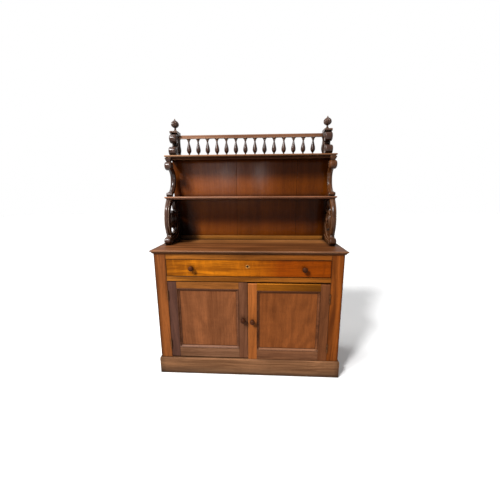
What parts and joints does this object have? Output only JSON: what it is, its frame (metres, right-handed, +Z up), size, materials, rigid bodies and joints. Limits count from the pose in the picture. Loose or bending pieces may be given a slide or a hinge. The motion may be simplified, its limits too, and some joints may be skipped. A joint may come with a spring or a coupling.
{
  "type": "chiffonier",
  "caption": "Chiffonier: base cupboard with a frieze drawer and panelled doors under open shelves on scroll brackets and a turned spindle gallery.",
  "frame": {"origin": "on the floor, in the middle of the whole outline seen from above", "axes": "+Z up, +Y towards the wall behind, +X to the right of someone facing the doors"},
  "size_m": [1.218, 0.447, 1.714],
  "materials": {
    "carcass_mahogany": "french polish, worn",
    "drawer_mahogany": "french polish",
    "panel_mahogany": "french polish",
    "door_mahogany": "french polish, worn",
    "carved_mahogany": "french polish, dark",
    "back_mahogany": "french polish",
    "knob_wood": "polished",
    "pine": "unfinished, aged",
    "drawer_lining": "unfinished oak",
    "brass": "aged",
    "lock_steel": "dull"
  },
  "bodies": {
    "carcass": {"plinth_front": "carcass_mahogany", "plinth_returns": "carcass_mahogany", "plinth_back": "pine", "carcass_side_left": "carcass_mahogany", "carcass_side_right": "carcass_mahogany", "front_stile_left": "carcass_mahogany", "front_stile_right": "carcass_mahogany", "carcass_floor": "pine", "carcass_back_boards": "pine", "top_rail": "carcass_mahogany", "drawer_rail": "carcass_mahogany", "drawer_runners": "pine", "drawer_kickers": "pine", "drawer_stops": "pine", "inner_shelf": "pine", "shelf_bearers": "pine", "top_board": "carcass_mahogany", "carcass_hinge_leaves": "brass", "hinge_pins": "lock_steel", "upper_back_boards": "back_mahogany", "back_skirting_rail": "carcass_mahogany", "lower_bracket_left": "carved_mahogany", "lower_bracket_right": "carved_mahogany", "middle_shelf": "carcass_mahogany", "upper_bracket_left": "carved_mahogany", "upper_bracket_right": "carved_mahogany", "top_shelf": "carcass_mahogany", "top_shelf_cove": "carcass_mahogany", "gallery_post_left": "carved_mahogany", "gallery_post_right": "carved_mahogany", "gallery_rail": "carved_mahogany", "gallery_spindles": "carved_mahogany", "finials": "carved_mahogany"},
    "drawer": {"drawer_front": "drawer_mahogany", "drawer_side_left": "drawer_lining", "drawer_side_right": "drawer_lining", "drawer_back": "drawer_lining", "drawer_bottom": "pine", "drawer_knobs": "knob_wood", "drawer_escutcheon": "brass", "drawer_lock_case": "lock_steel"},
    "drawer_lock_bolt": {"drawer_lock_bolt": "lock_steel"},
    "left_door": {"left_door_hinge_stile": "door_mahogany", "left_door_meeting_stile": "door_mahogany", "left_door_top_rail": "door_mahogany", "left_door_bottom_rail": "door_mahogany", "left_door_panel": "panel_mahogany", "left_door_moulding": "door_mahogany", "left_door_knob": "knob_wood", "left_door_hinge_leaves": "brass"},
    "left_door_bolt": {"left_door_bolt": "brass"},
    "right_door": {"right_door_hinge_stile": "door_mahogany", "right_door_meeting_stile": "door_mahogany", "right_door_top_rail": "door_mahogany", "right_door_bottom_rail": "door_mahogany", "right_door_panel": "panel_mahogany", "right_door_moulding": "door_mahogany", "right_door_hinge_leaves": "brass"},
    "right_door_latch": {"right_door_knob": "knob_wood", "right_door_latch_tongue": "brass"}
  },
  "joints": [
    {"name": "drawer_slide", "type": "slide", "parent": "carcass", "child": "drawer", "axis": [0, -1, 0], "range_m": [0, 0.28]},
    {"name": "drawer_lock", "type": "slide", "parent": "drawer", "child": "drawer_lock_bolt", "axis": [0, 0, 1], "range_m": [0, 0.009]},
    {"name": "left_door_hinge", "type": "hinge", "parent": "carcass", "child": "left_door", "pos_m": [-0.515, -0.1959, 0.4], "axis": [0, 0, -1], "range_deg": [0, 165]},
    {"name": "left_door_bolt_slide", "type": "slide", "parent": "left_door", "child": "left_door_bolt", "axis": [0, 0, 1], "range_m": [0, 0.012]},
    {"name": "right_door_hinge", "type": "hinge", "parent": "carcass", "child": "right_door", "pos_m": [0.515, -0.1959, 0.392], "axis": [0, 0, 1], "range_deg": [0, 165]},
    {"name": "right_door_latch_turn", "type": "hinge", "parent": "right_door", "child": "right_door_latch", "pos_m": [0.0295, -0.1915, 0.393], "axis": [0, 1, 0], "range_deg": [0, 90]}
  ]
}
